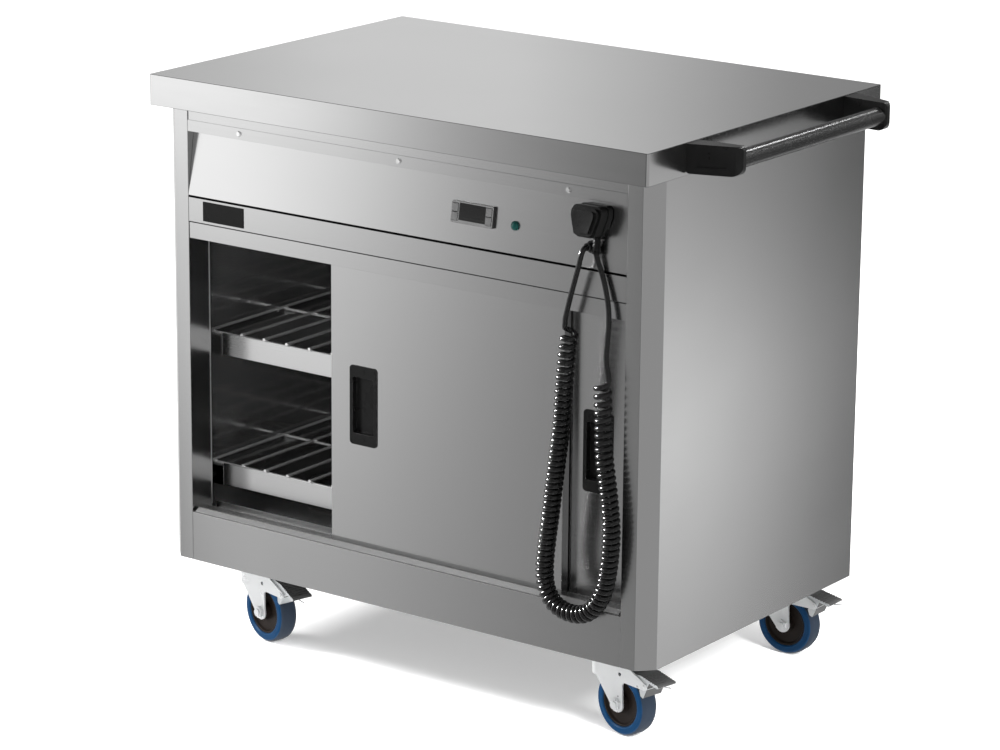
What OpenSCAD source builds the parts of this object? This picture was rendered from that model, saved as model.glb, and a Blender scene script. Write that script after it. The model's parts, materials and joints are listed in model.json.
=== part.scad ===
// Heated hostess trolley: a sheet steel hot cupboard on four castors.
// Millimetres, +Z up, the doors face -Y and the push handle is on +X.

/* [Overall] */
// height of the worktop above the floor
height = 900; // [800:5:1000]
// width of the worktop
top_w = 915; // [800:5:1300]
// depth of the worktop
top_d = 630; // [540:5:800]
// height of the folded edge of the worktop
top_t = 47.5; // [35:0.5:60]
// how far the worktop stands out over the doors
front_overhang = 28.5; // [20:0.5:45]
// how far the worktop stands out over the back
back_overhang = 16.5; // [8:0.5:40]
// how far the worktop stands out over each side
side_overhang = 2.5; // [2:0.5:10]

/* [Sheet metal] */
// thickness of the outer sheets
sheet = 1.2; // [0.9:0.1:1.5]
// width of the 45 degree cut on the vertical corners
corner_cut = 23; // [15:1:35]
// flat width of each door post
post_face = 26; // [20:1:40]
// depth of the door post behind its face
jamb_depth = 47; // [44:1:60]

/* [Front] */
// top of the kick panel above the floor
kick_top = 205; // [180:1:240]
// underside of the door header above the floor
opening_top = 646.5; // [560:0.5:680]
// width of one door
door_w = 430; // [425:1:600]
// thickness of one door
door_t = 17.2; // [15:0.2:18]
// how far the front door stands open
front_door_open = 262; // [0:1:380]
// how far the rear door stands open
rear_door_open = 8; // [0:1:380]
// width of a door pull
pull_w = 52; // [40:1:60]
// height of a door pull
pull_h = 124; // [90:1:160]

/* [Shelves] */
// top of the lower shelf above the floor
lower_shelf_z = 274; // [250:1:320]
// top of the upper shelf above the floor
upper_shelf_z = 486; // [400:1:540]
// diameter of the shelf wires
wire_d = 5; // [4:0.5:7]
// spacing of the shelf wires
wire_pitch = 44.8; // [30:0.2:60]

/* [Controls] */
// width of the temperature controller
ctrl_w = 75; // [72:1:96]
// height of the temperature controller
ctrl_h = 32; // [30:1:40]
// centre of the controller across the front
ctrl_x = 133; // [0:1:200]
// diameter of the lamp lens ring
lamp_d = 14; // [10:1:22]

/* [Handle] */
// distance of the handle tube from the worktop edge
handle_reach = 61.5; // [50:0.5:80]
// diameter of the handle tube
handle_d = 27; // [18:0.2:34]
// length of the tube between its two brackets
handle_len = 380; // [300:5:480]

/* [Castors] */
// diameter of the wheels
wheel_d = 100; // [80:1:108]
// width of the tyres
wheel_w = 32; // [24:1:34]
// height of a castor with its top plate
castor_h = 128; // [120:1:150]
// distance from the swivel to the axle
trail = 40; // [30:1:44]

/* [Mains cord] */
// thickness of the flexible cord
cord_d = 8; // [6:0.5:9]
// outer diameter of the coiled stretch
coil_d = 28; // [22:1:34]

/* [Hidden] */

// one small working gap is used between neighbouring pieces
gap = 0.3;
steel = [0.78, 0.79, 0.80];
dark_steel = [0.45, 0.46, 0.48];
zinc = [0.80, 0.81, 0.80];
black = [0.09, 0.09, 0.10];
blue = [0.05, 0.25, 0.50];
brass = [0.75, 0.62, 0.30];
green = [0.05, 0.45, 0.38];

// the whole model is moved so that X = 0 is the middle of cabinet and handle together
bracket_reach = handle_reach + handle_d / 2 + 2;
x_mid = bracket_reach / 2;

skin = 1.5;
half_w = top_w / 2 - side_overhang;
y_front = -top_d / 2 + front_overhang;
y_back = top_d / 2 - back_overhang;
y_body = (y_front + y_back) / 2;
z_skirt = castor_h - 1;
z_top = height - skin - gap;
post_x = half_w - corner_cut;
open_x = post_x - post_face;
between = open_x - gap;
// the sloping control panel
slope_top = height - 86.3;
slope_bottom = height - 185.8;
slope_back = 14.4;
flange_h = 17.4;
lean = atan(slope_back / (slope_top - slope_bottom));
header_top = slope_bottom - 3.2;
header_low = opening_top + 26.3;
// the two door channels
door_front_y = y_front + 19.9;
channel = door_t + 2.8;
rib_y = door_front_y - 2;
door_back_y = door_front_y + channel;
track_end = door_front_y + 2 * channel - 0.2;
track_floor = kick_top - 8;
door_z0 = track_floor + sheet + gap;
door_z1 = opening_top + 22.5;
door_h = door_z1 - door_z0;
front_door_x = -open_x + 1 + front_door_open;
rear_door_x = open_x - 1 - rear_door_open - door_w;
pull_edge = 36;
pull_z = (door_z0 + door_z1) / 2 - 3.5;
pull_r = 6;
pull_lip = 1.6;
pull_deep = 11;
// the heated space
liner_t = 1;
liner_x = post_x - 1;
liner_y0 = y_front + jamb_depth + 0.6;
liner_y1 = y_back - 36;
liner_z0 = track_floor + 1;
liner_z1 = opening_top + 25.5;
shelf_y0 = liner_y0 + 23;
shelf_y1 = liner_y1 - 8;
shelf_depth = shelf_y1 - shelf_y0;
bearer_w = 30;
bearer_h = 32;
bearer_x = liner_x - bearer_w;
rail_h = 35;
// mains plug, parked flat on the sloping panel
plug_x = 348;
plug_z = height - 117.5;
plug_w = 52;
plug_h = 48;
plug_back = -1.8;
socket_w = 36;
socket_h = 34;
boot_x = 9;
gland_x = 343;
gland_z = height - 155;
// castors: place, turn of the fork and pedal tilt, as front left, front right, back left, back right
castor_x = 338;
castor_y = min(220, (y_back - y_front) / 2 - 60);
turns = [-15, -12, 20, 0];
pressed = 14;
tilts = [pressed, 0, 0, 0];
axle_z = wheel_d / 2;
fork_in = wheel_w / 2 + 2.7;
fork_t = 2.5;
crown_z = castor_h - 16;
wrap_x = -5;
wrap_z = crown_z - 28;
boss_r = 12.5;
pivot_x = trail + 55;
pivot_z = axle_z + 42;
arm_r = 5.5;
arch_x = 10.5;
arch_z = pivot_z - arm_r + 0.6;
// routes of the cord, hand chosen for the standing height of 900
gland_route = [
    [343, -290, 746.1], [343, -296, 747], [342.6, -301, 745.8], [341.8, -304.5, 741.5],
    [340.5, -306, 735], [338, -306.5, 723], [334.5, -306, 710], [330, -305.5, 694],
    [325, -305, 675], [320, -304, 655], [317.5, -303.5, 640], [317.5, -303.5, 626]
];
coil_route = [
    [323, -303.5, 631], [317, -303.5, 588], [313, -303.5, 541], [309, -303.5, 479],
    [300, -303.5, 409], [292, -303.5, 342], [285, -303.5, 288], [283, -303.5, 255],
    [286, -303.5, 231], [297, -303.5, 212], [314, -303.5, 202], [334, -303.5, 199],
    [354, -303.5, 203], [371, -303.5, 215], [383, -303.5, 233], [391, -303.5, 255],
    [397, -303.5, 293], [399, -303.5, 340], [393, -303.5, 394], [385, -303.5, 445],
    [383, -303.5, 494], [384, -303.5, 540], [387, -303.5, 562]
];
plug_route = [
    [391, -303.5, 554], [389.5, -303.5, 566], [387, -303, 580], [385, -301.5, 598],
    [384.5, -299.5, 620], [385, -297.5, 642], [382.5, -295.5, 664], [376.5, -294, 687],
    [369.5, -293.2, 709], [362, -292.9, 726], [358, -292.8, 736], [357, -292, 742.3]
];
cord_lift = [0, y_front + 286.5, height - 900];

// ---------- shared helpers ----------

function unit(v) = v / norm(v);
function left_of(v) = [-v[1], v[0]];
function turn_in(a, b) = (a + b) / (1 + a * b);
function corner(p, i, t) =
    i == 0 ? p[0] + t * left_of(unit(p[1] - p[0])) :
    i == len(p) - 1 ? p[i] + t * left_of(unit(p[i] - p[i - 1])) :
    p[i] + t * turn_in(left_of(unit(p[i] - p[i - 1])), left_of(unit(p[i + 1] - p[i])));
function band(p, t) = concat(p, [for (i = [len(p) - 1 : -1 : 0]) corner(p, i, t)]);

module placed() {
    translate([-x_mid, 0, 0]) children();
}

// a folded sheet: the path is its outer face and the thickness lies to the left of it
module folded(p, t, h) {
    linear_extrude(height = h) polygon(band(p, t));
}

// turns a flat (y, z) outline into a bar along X, centred
module along_x(len) {
    rotate([90, 0, 90]) linear_extrude(height = len, center = true) children();
}

module bent(p, t, len) {
    along_x(len) polygon(band(p, t));
}

module rounded(w, h, r) {
    square([w - 2 * r, h], center = true);
    square([w, h - 2 * r], center = true);
    for (sx = [-1, 1], sy = [-1, 1])
        translate([sx * (w / 2 - r), sy * (h / 2 - r)]) circle(r = r, $fn = 48);
}

// turns a flat (x, z) outline into a plate whose front face is at y0 and which goes back by t
module facing(y0, t) {
    translate([0, y0 + t, 0]) rotate([90, 0, 0]) linear_extrude(height = t) children();
}

module rod_y(r, y0, y1) {
    translate([0, y0, 0]) rotate([-90, 0, 0]) cylinder(r = r, h = y1 - y0, $fn = 64);
}

module rod_x(r, x0, x1) {
    translate([x0, 0, 0]) rotate([0, 90, 0]) cylinder(r = r, h = x1 - x0, $fn = 64);
}

// stands its children on the sloping control panel, with -Y straight out of it
function panel_y(z) = y_front + slope_back * (z - slope_bottom) / (slope_top - slope_bottom);
module on_panel(x, z) {
    translate([x, panel_y(z), z]) rotate([-lean, 0, 0]) children();
}

// a tube of many flat sides swept along a route
function route_way(p, i) = unit(p[min(i + 1, len(p) - 1)] - p[max(i - 1, 0)]);
function ring(c, w, ref, r, n) =
    let (u = unit(cross(w, ref)), v = cross(w, u))
    [for (k = [0 : n - 1]) c + r * (cos(k * 360 / n) * u + sin(k * 360 / n) * v)];
module swept(p, r, n, ref) {
    m = len(p);
    points = [for (i = [0 : m - 1]) each ring(p[i] + cord_lift, route_way(p, i), ref, r, n)];
    sides = [for (i = [0 : m - 2], k = [0 : n - 1])
        [i * n + k, (i + 1) * n + k, (i + 1) * n + (k + 1) % n, i * n + (k + 1) % n]];
    first = [for (k = [0 : n - 1]) k];
    last = [for (k = [n - 1 : -1 : 0]) (m - 1) * n + k];
    polyhedron(points = points, faces = concat(sides, [first, last]), convexity = 6);
}

// ---------- cabinet ----------

module worktop() placed() color(steel) {
    difference() {
        translate([0, 0, height - top_t]) linear_extrude(height = top_t) rounded(top_w, top_d, 4);
        translate([0, 0, height - top_t - 1])
            linear_extrude(height = top_t + 1 - skin)
                rounded(top_w - 2 * skin, top_d - 2 * skin, 2.5);
    }
    for (y = [-top_d / 2 + skin, y_back + gap])
        translate([-top_w / 2 + 4, y, height - top_t])
            cube([top_w - 8, (y < 0 ? front_overhang : back_overhang) - skin - gap, sheet]);
}

// one side: rear flat, rear cut, side, front cut, front flat, then the door jamb
module side(s) {
    mirror([s < 0 ? 0 : 1, 0, 0]) {
        translate([0, 0, z_skirt])
            folded([
                [-open_x, y_front], [-post_x, y_front], [-half_w, y_front + corner_cut],
                [-half_w, y_back - corner_cut], [-post_x, y_back], [-open_x, y_back]
            ], -sheet, z_top - z_skirt);
        translate([0, 0, castor_h + skin + 1])
            folded([[-open_x, y_front + jamb_depth], [-open_x, y_front]], -sheet, z_top - castor_h - skin - 1);
        translate([-half_w + sheet / 2, y_front + corner_cut + 2, z_top - sheet])
            cube([20, y_back - y_front - 2 * corner_cut - 4, sheet]);
    }
}

module left_side() placed() color(steel) side(-1);
module right_side() placed() color(steel) side(1);

module back_panel() placed() color(steel) {
    z0 = castor_h + skin + gap;
    translate([0, 0, z0]) folded([
        [between, y_back - 18], [between, y_back], [-between, y_back], [-between, y_back - 18]
    ], sheet, z_top - z0 - gap);
    translate([-between, y_back - sheet, z_skirt]) cube([2 * between, sheet, z0 - z_skirt + 1]);
}

module base_pan() placed() color(dark_steel) {
    e = sheet + gap;
    k = e * tan(22.5);
    translate([0, 0, castor_h]) linear_extrude(height = skin) polygon([
        [-post_x + k, y_front + e], [post_x - k, y_front + e],
        [half_w - e, y_front + corner_cut + k], [half_w - e, y_back - corner_cut - k],
        [post_x - k, y_back - e], [-post_x + k, y_back - e],
        [-half_w + e, y_back - corner_cut - k], [-half_w + e, y_front + corner_cut + k]
    ]);
    for (s = [-1, 1])
        translate([s * (half_w - e - sheet / 2) - sheet / 2, y_front + corner_cut + k, castor_h])
            cube([sheet, y_back - y_front - 2 * corner_cut - 2 * k, 22]);
    translate([-between + 3, y_front + e, castor_h]) cube([2 * between - 6, sheet, 22]);
    translate([-between + 3, y_back - e - sheet, castor_h]) cube([2 * between - 6, sheet, 22]);
}

module kick_panel() placed() color(steel)
    bent([
        [y_front, z_skirt], [y_front, kick_top], [y_front + 8, kick_top]
    ], -sheet, 2 * between);

module top_rail() placed() color(steel) difference() {
    bent([
        [y_front + sheet + gap, slope_top + sheet + 0.4],
        [y_front + sheet + gap, z_top],
        [y_front + 28, z_top]
    ], -sheet, 2 * between);
    screw_places() rod_y(2.15, -1, 8);
}

module screw_places() {
    for (x = [-304, 0, 304])
        translate([x, y_front, slope_top + flange_h / 2]) children();
}

// the panel leans back under a ledge, so that its screwed flange is flush with the posts
module panel_profile() {
    polygon(band([
        [y_front + 24, slope_bottom], [y_front, slope_bottom],
        [y_front + slope_back, slope_top], [y_front, slope_top], [y_front, slope_top + flange_h]
    ], -sheet));
}

module control_panel() placed() color(steel) difference() {
    along_x(2 * between) panel_profile();
    screw_places() rod_y(2.15, -1, 4);
    on_panel(ctrl_x, height - 139)
        translate([-ctrl_w / 2 + 3.5, -2, -ctrl_h / 2 + 1.5]) cube([ctrl_w - 7, 6, ctrl_h - 3]);
    on_panel(207.5, height - 145) rod_y(5.2, -2, 4);
    on_panel(gland_x, gland_z) rod_y(6.2, -2, 4);
    on_panel(plug_x, plug_z) facing(-2, 6) square([socket_w + 2 * gap, socket_h + 2 * gap], center = true);
}

module panel_screws() placed() color(zinc) screw_places() {
    rod_y(2, -1, 7.5);
    rotate([90, 0, 0]) cylinder(r1 = 4.6, r2 = 3.4, h = 2.4, $fn = 48);
}

module door_header() placed() color(steel)
    bent([
        [y_front + 18, header_low], [y_front, header_low], [y_front, header_top], [y_front + 24, header_top]
    ], -sheet, 2 * between);

module badge_plate() placed() color(black)
    translate([-376.5, y_front - 1.2, header_top - 34]) cube([80, 1.2, 30.5]);

module upper_track() placed() color(steel) {
    top = header_low - 1.3;
    bent([
        [y_front + sheet + 0.1, opening_top], [y_front + sheet + 0.1, top],
        [track_end, top], [track_end, opening_top + 4]
    ], -sheet, 2 * between);
    for (y = [rib_y, rib_y + channel])
        translate([-between, y, opening_top + 5]) cube([2 * between, sheet, top - opening_top - 5.6]);
}

// two channels for the doors, with a ridged lip that lies on the kick panel
module lower_track() placed() color(steel) {
    translate([-between, rib_y, track_floor]) cube([2 * between, track_end - rib_y, sheet]);
    translate([-between, rib_y, track_floor]) cube([2 * between, sheet, kick_top + 3.4 - track_floor]);
    bent([
        [y_front + 1, kick_top + 1.5], [y_front + 10, kick_top + 6.7], [rib_y + 1, kick_top + 3.9]
    ], -sheet, 2 * between - 8);
    translate([-between, rib_y + channel, track_floor]) cube([2 * between, sheet, kick_top + 2 - track_floor]);
    translate([-between, track_end - sheet, track_floor]) cube([2 * between, sheet, kick_top + 4 - track_floor]);
}

// ---------- heated space ----------

module liner_sides() placed() color(dark_steel)
    for (s = [0, 1]) mirror([s, 0, 0])
        translate([0, 0, liner_z0])
            folded([
                [-open_x - sheet - 1.5, liner_y0], [-liner_x, liner_y0], [-liner_x, liner_y1]
            ], -liner_t, liner_z1 - liner_z0);

module liner_back() placed() color(dark_steel)
    translate([-liner_x, liner_y1 + gap, liner_z0]) cube([2 * liner_x, liner_t, liner_z1 - liner_z0]);

module liner_plate(z) {
    translate([-liner_x + liner_t + gap, track_end + gap, z])
        cube([2 * (liner_x - liner_t - gap), liner_y1 - track_end - gap, liner_t]);
}

module liner_ceiling() placed() color(dark_steel) liner_plate(liner_z1 - liner_t - 0.5);
module liner_floor() placed() color(dark_steel) liner_plate(liner_z0);

// channels along the walls, open towards the wall, which carry the wire shelves
module shelf_bearers() placed() color(steel)
    for (s = [0, 1], z = [lower_shelf_z, upper_shelf_z]) mirror([s, 0, 0])
        translate([-liner_x + liner_t + gap, shelf_y0, z - 2 * wire_d + 0.1 - bearer_h])
            difference() {
                cube([bearer_w - 2, shelf_depth, bearer_h]);
                translate([-sheet, -1, sheet])
                    cube([bearer_w - 2, shelf_depth + 2, bearer_h - 2 * sheet]);
            }

module shelf(z) {
    cross_r = wire_d / 2;
    cross_z = z - wire_d * 1.5 + 0.4;
    reach = liner_x - liner_t - 4;
    n = floor((bearer_x - 10) / wire_pitch);
    for (i = [-n : n])
        translate([i * wire_pitch - 4, 0, z - cross_r]) rod_y(cross_r, shelf_y0 + 0.5, shelf_y1);
    for (x = [-reach + 4, reach - 4])
        translate([x, 0, z - cross_r]) rod_y(cross_r, shelf_y0 + 0.5, shelf_y1);
    for (f = [0.012, 0.39, 0.69, 0.985])
        translate([0, shelf_y0 + f * shelf_depth, cross_z]) rod_x(cross_r, -reach, reach);
}

// the stainless rail across the front of each shelf, between its bearers
module shelf_rails() placed() color(steel)
    for (z = [lower_shelf_z, upper_shelf_z]) translate([-bearer_x - 0.4, shelf_y0, z - rail_h - wire_d]) {
        cube([2 * bearer_x + 0.8, sheet, rail_h - gap]);
        cube([2 * bearer_x + 0.8, 14, sheet]);
    }

module upper_shelf() placed() color(steel) shelf(upper_shelf_z);
module lower_shelf() placed() color(steel) shelf(lower_shelf_z);

// a tubular element in four long legs, on three clips on the floor
module heating_element() placed() color(dark_steel) {
    r = 4;
    legs = 4;
    pitch = 80;
    half = liner_x - 130;
    y0 = (shelf_y0 + shelf_y1) / 2 - pitch * (legs - 1) / 2;
    z = liner_z0 + liner_t + 18;
    for (i = [0 : legs - 1])
        translate([0, y0 + i * pitch, z]) rod_x(r, -half, half + (i == 0 || i == legs - 1 ? 60 : 0));
    for (i = [0 : legs - 2])
        translate([i % 2 == 0 ? -half : half, y0 + (i + 0.5) * pitch, z])
            rotate([0, 0, i % 2 == 0 ? 90 : -90])
                rotate_extrude(angle = 180, $fn = 64) translate([pitch / 2, 0]) circle(r = r, $fn = 32);
    for (x = [-half * 0.7, half * 0.7])
        translate([x - 5, y0 - 8, liner_z0 + liner_t + 0.1])
            difference() {
                cube([10, pitch * (legs - 1) + 16, 18]);
                translate([-1, 6, 3]) cube([12, pitch * (legs - 1) + 4, 11]);
            }
}

// ---------- controls ----------

key_w = 10;
key_h = 12;
key_lip = 0.9;
// key centres on the face of the controller
key_spots = [[-ctrl_w / 2 + 6.8, 6.6], [-ctrl_w / 2 + 6.8, -6.6], [ctrl_w / 2 - 7.4, 6.6], [ctrl_w / 2 - 7.4, -6.6]];
bezel = 5.2;

module controller() placed() color([0.62, 0.63, 0.64])
    on_panel(ctrl_x, height - 139) difference() {
        union() {
            facing(-bezel, bezel - 0.05) rounded(ctrl_w, ctrl_h, 2);
            facing(-0.5, 46) square([ctrl_w - 7.6, ctrl_h - 3.6], center = true);
        }
        for (k = key_spots) translate([k[0], 0, k[1]])
            facing(-bezel - 1, 5.6) square([key_w + 0.6, key_h + 0.6], center = true);
        translate([-0.3, 0, 1.8]) facing(-bezel - 1, 1.5) square([ctrl_w - 27, 18], center = true);
    }

module key(i) {
    on_panel(ctrl_x, height - 139) translate([key_spots[i][0], 0, key_spots[i][1]])
        facing(-bezel - key_lip, 4.4) square([key_w, key_h], center = true);
}

module key_up() placed() color([0.5, 0.5, 0.52]) key(0);
module key_down() placed() color([0.5, 0.5, 0.52]) key(1);
module key_set() placed() color([0.5, 0.5, 0.52]) key(2);
module key_power() placed() color([0.5, 0.5, 0.52]) key(3);

module indicator_lamp() placed() color(green) on_panel(207.5, height - 145) {
    rod_y(5, -0.5, 24);
    rod_y(lamp_d / 2, -2.2, -0.05);
    intersection() {
        translate([0, 3.2, 0]) sphere(r = 9, $fn = 64);
        rod_y(lamp_d / 2 - 1.2, -9, -1.5);
    }
}

// a low bushing with a nut behind the panel
module cable_gland() placed() color(black) on_panel(gland_x, gland_z) {
    rod_y(6, -0.5, 10);
    rod_y(9, -2.3, -0.05);
    rod_y(6.6, -8, -2.2);
    rod_y(5.8, -14, -7.5);
    translate([0, 5.6, 0]) rotate([90, 0, 0]) cylinder(r = 10, h = 4, $fn = 6);
}

// the socket that the mains plug is parked in, with three slots for its pins
module pin_spots(grow) {
    translate([0, 11]) square([4 + grow, 8 + grow], center = true);
    for (s = [-1, 1]) translate([s * 11, -8]) square([6.3 + grow, 4 + grow], center = true);
}

module plug_holder() placed() color(black) on_panel(plug_x, plug_z) difference() {
    union() {
        facing(-1.5, 1.45) rounded(socket_w + 8, socket_h + 8, 4);
        facing(-0.5, 25) square([socket_w, socket_h], center = true);
    }
    facing(-3, 24.5) pin_spots(0.8);
}

module plug_pins() placed() color(brass) on_panel(plug_x, plug_z) {
    facing(plug_back, 22) translate([0, 11]) square([4, 8], center = true);
    facing(plug_back, 17.5) for (s = [-1, 1]) translate([s * 11, -8]) square([6.3, 4], center = true);
}

// one slice of the plug: wide and round at the top, narrow at the cord's end
module plug_slice(y0, t, inset) {
    half = plug_w / 2 + 1 - inset;
    facing(y0, t) intersection() {
        rounded(plug_w - 2 * inset, plug_h - 2 * inset, 9 - inset / 2);
        translate([0, 5]) circle(r = 31 - inset, $fn = 96);
        polygon([[-half, 30], [half, 30], [half, 10], [15 - inset, -30], [inset - 15, -30], [-half, 10]]);
    }
}

module plug() placed() color(black) on_panel(plug_x, plug_z) {
    plug_slice(-12, 12 + plug_back, 0);
    plug_slice(-30, 18.2, 1.2);
    plug_slice(-36.5, 6.7, 4);
    plug_slice(-40, 3.7, 8);
    translate([boot_x, -9.5, -46]) {
        cylinder(r = 4.8, h = 28, $fn = 48);
        for (i = [0 : 4]) translate([0, 0, i * 5.2]) cylinder(r = 6.2, h = 3, $fn = 48);
    }
}

module gland_lead() placed() color(black) swept(gland_route, cord_d / 2, 10, [1, 0, 0]);
module plug_lead() placed() color(black) swept(plug_route, cord_d / 2, 10, [0, 1, 0]);
module coiled_cord() placed() color(black) swept(coil_route, coil_d / 2, 12, [0, 1, 0]);

// ---------- handle ----------

handle_z = height - 22.5;
handle_y = 10;
handle_x = top_w / 2 + handle_reach;
bracket_h = 43;

module handle_tube() placed() color(black)
    translate([handle_x, handle_y, handle_z]) difference() {
        rod_y(handle_d / 2, -handle_len / 2 - 8, handle_len / 2 + 8);
        rod_y(handle_d / 2 - 1.5, -handle_len / 2 - 9, handle_len / 2 + 9);
    }

// side view of a bracket: nearly square on top, well rounded below
function arc(c, r, a0) = [for (i = [0 : 14]) c + r * [cos(a0 + 90 * i / 14), sin(a0 + 90 * i / 14)]];
module bracket_side() {
    half = bracket_h / 2;
    polygon(concat(
        [[0, half]], arc([5, 5 - half], 5, 180),
        arc([bracket_reach - 15, 15 - half], 15, 270), arc([bracket_reach - 7, half - 7], 7, 0)
    ));
}

module handle_brackets() placed() color(black)
    for (s = [0, 1]) translate([top_w / 2, handle_y, handle_z]) mirror([0, s, 0]) difference() {
        knee = handle_reach * 0.65;
        intersection() {
            translate([0, handle_len / 2, -bracket_h / 2 - 1]) linear_extrude(height = bracket_h + 2) polygon([
                [0.05, 39.5], [0.05, 6], [handle_reach * 0.62, 2], [bracket_reach - 3, 0], [bracket_reach, 3],
                [bracket_reach, 10], [handle_reach + 7, 17], [knee, 27]
            ]);
            rotate([90, 0, 0]) linear_extrude(height = handle_len + 160, center = true) bracket_side();
        }
        translate([handle_reach, 0, 0]) rod_y(handle_d / 2 + 0.05, handle_len / 2 - 5, handle_len / 2 + 8.2);
        // a shallow panel sunk in the outer face
        translate([0, handle_len / 2, -11]) linear_extrude(height = 20) polygon([
            [15, 33.5], [knee, 25.8], [handle_reach - 5, 19.6], [handle_reach - 5, 40], [15, 50]
        ]);
    }

// ---------- doors ----------

module door_pan(x, y) {
    translate([x, y, door_z0]) difference() {
        cube([door_w, door_t - 1.2, door_h]);
        translate([sheet, sheet, sheet]) cube([door_w - 2 * sheet, door_t, door_h - 2 * sheet]);
    }
}

// the hole for the recessed pull
module pull_hole(x, y) {
    translate([x, 0, pull_z]) facing(y - 1, 6) rounded(pull_w - 7.4, pull_h - 31.4, 5);
}

module inner_skin(x, y) {
    translate([x + sheet + gap, y + door_t - 1, door_z0 + sheet + gap])
        cube([door_w - 2 * (sheet + gap), 1, door_h - 2 * (sheet + gap)]);
    translate([x + sheet + gap, y + door_t - 9, door_z0 + sheet + gap]) difference() {
        cube([door_w - 2 * (sheet + gap), 8.2, door_h - 2 * (sheet + gap)]);
        translate([1, -1, 1]) cube([door_w - 2 * (sheet + gap) - 2, 12, door_h - 2 * (sheet + gap) - 2]);
    }
}

// a plate with rounded corners and a hollow for the fingers, held by two screws
module pull(x, y) {
    translate([x, 0, pull_z]) {
        difference() {
            union() {
                facing(y - pull_lip, pull_lip - 0.05) rounded(pull_w, pull_h, pull_r);
                facing(y - 0.5, pull_deep) rounded(pull_w - 8, pull_h - 32, 4);
            }
            facing(y - pull_lip - 1, pull_deep + 0.2) rounded(pull_w - 12, pull_h - 36, 3);
        }
        for (z = [-pull_h / 2 + 9, pull_h / 2 - 9])
            translate([0, y - pull_lip - 0.7, z]) rod_y(3, 0, 0.8);
    }
}

front_pull_x = front_door_x + pull_edge + pull_w / 2;
rear_pull_x = rear_door_x + door_w - pull_edge - pull_w / 2;

module front_door() placed() color(steel) difference() {
    door_pan(front_door_x, door_front_y);
    pull_hole(front_pull_x, door_front_y);
}

module rear_door() placed() color(steel) difference() {
    door_pan(rear_door_x, door_back_y);
    pull_hole(rear_pull_x, door_back_y);
}

module front_door_inner() placed() color(steel) inner_skin(front_door_x, door_front_y);
module rear_door_inner() placed() color(steel) inner_skin(rear_door_x, door_back_y);
module front_door_pull() placed() color(black) pull(front_pull_x, door_front_y);
module rear_door_pull() placed() color(black) pull(rear_pull_x, door_back_y);

// ---------- castors ----------

function castor_spot(i) = [(i % 2 == 0 ? -1 : 1) * castor_x, y_body + (i < 2 ? -1 : 1) * castor_y, 0];

// the castor's own frame: swivel on Z at the origin, wheel trailing towards +X
module castor(i) {
    translate(castor_spot(i)) rotate([0, 0, turns[i]]) children();
}

module castor_plates() placed() color(zinc)
    for (i = [0 : 3]) translate(castor_spot(i)) {
        translate([-52, -40, castor_h - 3.05]) cube([104, 80, 3]);
        translate([0, 0, castor_h - 5.8]) cylinder(r = 28, h = 3.2, $fn = 96);
        translate([0, 0, crown_z - 4.5]) cylinder(r = 6, h = 13, $fn = 64);
        translate([0, 0, crown_z - 5.5]) cylinder(r = 10, h = 5, $fn = 6);
        for (sx = [-1, 1], sy = [-1, 1])
            translate([sx * 40, sy * 30, castor_h - 8.5]) cylinder(r = 7, h = 5.6, $fn = 6);
    }

module fork(i) {
    castor(i) {
        difference() {
            union() {
                for (s = [-1, 1])
                    translate([0, s * (fork_in + fork_t / 2) + fork_t / 2, 0]) rotate([90, 0, 0])
                        linear_extrude(height = fork_t) fork_leg();
                translate([wrap_x, -fork_in - fork_t, crown_z])
                    cube([trail + 20 - wrap_x, 2 * (fork_in + fork_t), 3]);
                translate([wrap_x, 0, wrap_z]) difference() {
                    cylinder(r = fork_in + fork_t, h = crown_z + 3 - wrap_z, $fn = 96);
                    translate([0, 0, -1]) cylinder(r = fork_in, h = crown_z - wrap_z + 1, $fn = 96);
                    translate([0, -50, -1]) cube([100, 100, 100]);
                }
                translate([0, 0, crown_z + 1]) cylinder(r = 27, h = castor_h - 6.1 - crown_z - 1, $fn = 96);
            }
            translate([0, 0, crown_z - 1]) cylinder(r = 6.06, h = 20, $fn = 64);
        }
        translate([trail, 0, axle_z]) {
            rod_y(6, -fork_in - fork_t - 8, fork_in + fork_t + 8);
            for (s = [-1, 1]) translate([0, s * (fork_in + fork_t + 2.6), 0]) rotate([90, 30, 0])
                cylinder(r = 9.5, h = 5, center = true, $fn = 6);
        }
        translate([pivot_x, 0, pivot_z]) rod_y(3, -fork_in - fork_t - 1.5, fork_in + fork_t + 1.5);
    }
}

// the outline of one leg: crown, axle boss and the arm that carries the brake pedal
module fork_leg() {
    difference() {
        union() {
            polygon([
                [wrap_x, crown_z + 2], [wrap_x, wrap_z], [trail - boss_r * 0.73, axle_z - boss_r * 0.62],
                [trail + boss_r - 0.5, axle_z - 3], [trail + arch_x, arch_z],
                [pivot_x + 1, pivot_z - arm_r + 0.3], [pivot_x + arm_r * 0.46, pivot_z + arm_r * 0.83],
                [trail + 20, crown_z + 2]
            ]);
            translate([trail, axle_z]) circle(r = boss_r, $fn = 64);
            translate([pivot_x, pivot_z]) circle(r = arm_r, $fn = 64);
            translate([trail + arch_x, arch_z - 6.7]) difference() {
                translate([-1, 0]) square([8, 8]);
                translate([7, 0]) circle(r = 7, $fn = 48);
            }
        }
        translate([trail, axle_z]) circle(r = 5.5, $fn = 48);
        translate([pivot_x, pivot_z]) circle(r = 2.5, $fn = 48);
        translate([trail + 5, axle_z + 48]) circle(r = 3, $fn = 48);
    }
}

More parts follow.
